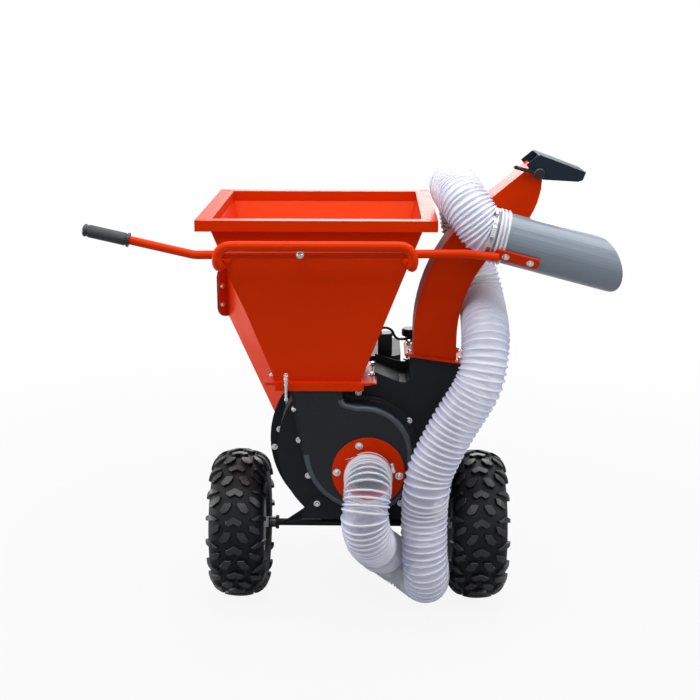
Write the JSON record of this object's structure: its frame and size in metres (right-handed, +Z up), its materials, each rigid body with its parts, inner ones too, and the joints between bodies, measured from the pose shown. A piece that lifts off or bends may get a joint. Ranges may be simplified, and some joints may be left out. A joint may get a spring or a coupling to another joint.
{
  "type": "chipper shredder vacuum",
  "caption": "Wheeled garden chipper shredder with leaf hopper, side chipper chute, curved discharge chute, engine, and a vacuum hose with its nozzle stowed on the hopper.",
  "frame": {"origin": "middle of the footprint on the ground, under the machine without its hose", "axes": "+X to the right along the wheel axle, towards the discharge side; +Y to the back, towards the engine; +Z up"},
  "size_m": [1.1497, 0.6632, 1.0732],
  "materials": {
    "orange_paint": "gloss",
    "black_paint": "satin",
    "deflector_paint": "satin",
    "white_rim": "gloss",
    "bright_steel": "satin",
    "cast_alloy": "satin",
    "tyre_rubber": "matte",
    "black_rubber": "matte",
    "black_plastic": "satin",
    "switch_red": "gloss",
    "grey_pvc": "satin",
    "clear_pvc": "gloss"
  },
  "bodies": {
    "chassis": {"axle": "black_paint", "housing_drum": "black_paint", "rear_plate": "black_paint", "front_cover": "black_paint", "inlet_flange": "orange_paint", "hopper_funnel": "orange_paint", "hopper_base": "orange_paint", "hopper_rim": "orange_paint", "grab_bar": "orange_paint", "discharge_chute": "orange_paint", "chute_flange": "orange_paint", "chipper_chute": "orange_paint", "chipper_flange": "orange_paint", "chipper_flap": "black_rubber", "engine_frame": "black_paint", "axle_bracket_left": "black_paint", "axle_bracket_right": "black_paint", "rear_leg": "black_paint", "leg_foot": "black_rubber", "crankcase": "cast_alloy", "crankcase_cover": "cast_alloy", "cylinder": "cast_alloy", "valve_cover": "black_paint", "blower_shroud": "black_paint", "starter_cover": "black_paint", "fuel_tank": "black_paint", "carburettor": "cast_alloy", "air_cleaner": "black_plastic", "muffler": "black_paint", "spark_plug": "black_rubber", "nozzle_pipe": "grey_pvc", "wand_tube": "orange_paint", "wand_grip": "black_rubber", "suction_hose": "clear_pvc"},
    "wheel_left": {"tyre_left": "tyre_rubber", "wheel_rim_left": "white_rim"},
    "wheel_right": {"tyre_right": "tyre_rubber", "wheel_rim_right": "white_rim"},
    "rotor": {"crankshaft": "bright_steel", "flywheel": "bright_steel", "chipper_knife_1": "bright_steel", "chipper_knife_2": "bright_steel", "flail_pin_1": "bright_steel", "flail_pin_2": "bright_steel", "cooling_fan": "cast_alloy"},
    "flail_1": {"flail_1": "bright_steel"},
    "flail_2": {"flail_2": "bright_steel"},
    "latch_pin": {"latch_pin": "bright_steel"},
    "deflector": {"deflector": "deflector_paint"},
    "clamp_lever_front": {"clamp_lever_front": "black_plastic"},
    "clamp_lever_rear": {"clamp_lever_rear": "black_plastic"},
    "starter_pulley": {"starter_pulley": "black_plastic"},
    "starter_grip": {"starter_grip": "black_rubber"},
    "fuel_cap": {"fuel_cap": "black_plastic"},
    "throttle_lever": {"throttle_lever": "bright_steel"},
    "choke_lever": {"choke_lever": "bright_steel"},
    "oil_plug": {"oil_plug": "black_plastic"},
    "engine_switch": {"engine_switch": "switch_red"}
  },
  "joints": [
    {"name": "wheel_left_spin", "type": "hinge", "parent": "chassis", "child": "wheel_left", "pos_m": [-0.2715, -0.0617, 0.1775], "axis": [1, 0, 0], "continuous": true},
    {"name": "wheel_right_spin", "type": "hinge", "parent": "chassis", "child": "wheel_right", "pos_m": [0.2955, -0.0617, 0.1775], "axis": [1, 0, 0], "continuous": true},
    {"name": "rotor_spin", "type": "hinge", "parent": "chassis", "child": "rotor", "pos_m": [0.036, -0.0617, 0.36], "axis": [0, 1, 0], "continuous": true},
    {"name": "flail_1_swing", "type": "hinge", "parent": "rotor", "child": "flail_1", "pos_m": [0.09398, -0.0783, 0.41798], "axis": [0, 1, 0], "continuous": true},
    {"name": "flail_2_swing", "type": "hinge", "parent": "rotor", "child": "flail_2", "pos_m": [-0.02198, -0.0783, 0.30202], "axis": [0, 1, 0], "continuous": true},
    {"name": "latch_pin_pull", "type": "slide", "parent": "chassis", "child": "latch_pin", "axis": [0, 0, 1], "range_m": [0, 0.012], "stiffness_N_per_m": 300, "springref_m": -0.003},
    {"name": "deflector_tilt", "type": "hinge", "parent": "chassis", "child": "deflector", "pos_m": [0.4038, -0.0977, 1.0337], "axis": [0, 1, 0], "range_deg": [-20, 40]},
    {"name": "clamp_lever_front_turn", "type": "hinge", "parent": "chassis", "child": "clamp_lever_front", "pos_m": [0.4038, -0.1535, 1.0337], "axis": [0, 1, 0], "range_deg": [-90, 90]},
    {"name": "clamp_lever_rear_turn", "type": "hinge", "parent": "chassis", "child": "clamp_lever_rear", "pos_m": [0.4038, -0.042, 1.0337], "axis": [0, 1, 0], "range_deg": [-90, 90]},
    {"name": "starter_pulley_turn", "type": "hinge", "parent": "chassis", "child": "starter_pulley", "pos_m": [0.036, 0.2706, 0.36], "axis": [0, 1, 0], "range_deg": [0, 409], "stiffness_Nm_per_rad": 0.08, "springref_deg": -171.89},
    {"name": "starter_grip_pull", "type": "slide", "parent": "chassis", "child": "starter_grip", "axis": [-0.6157, 0, 0.788], "range_m": [0, 0.3]},
    {"name": "fuel_cap_turn", "type": "hinge", "parent": "chassis", "child": "fuel_cap", "pos_m": [-0.038, 0.1033, 0.5753], "axis": [0, 0, 1], "range_deg": [0, 120]},
    {"name": "throttle_lever_turn", "type": "hinge", "parent": "chassis", "child": "throttle_lever", "pos_m": [0.152, 0.053, 0.548], "axis": [0, 1, 0], "range_deg": [-35, 0]},
    {"name": "choke_lever_turn", "type": "hinge", "parent": "chassis", "child": "choke_lever", "pos_m": [0.152, 0.053, 0.532], "axis": [0, 1, 0], "range_deg": [-40, 0]},
    {"name": "oil_plug_turn", "type": "hinge", "parent": "chassis", "child": "oil_plug", "pos_m": [-0.0663, 0.0283, 0.3], "axis": [-1, 0, 0], "range_deg": [0, 360]},
    {"name": "engine_switch_turn", "type": "hinge", "parent": "chassis", "child": "engine_switch", "pos_m": [-0.0663, 0.1333, 0.405], "axis": [-1, 0, 0], "range_deg": [0, 60]}
  ],
  "couplings": [
    {"joint": "starter_grip_pull", "follows": "starter_pulley_turn", "m_per_rad": 0.042}
  ]
}
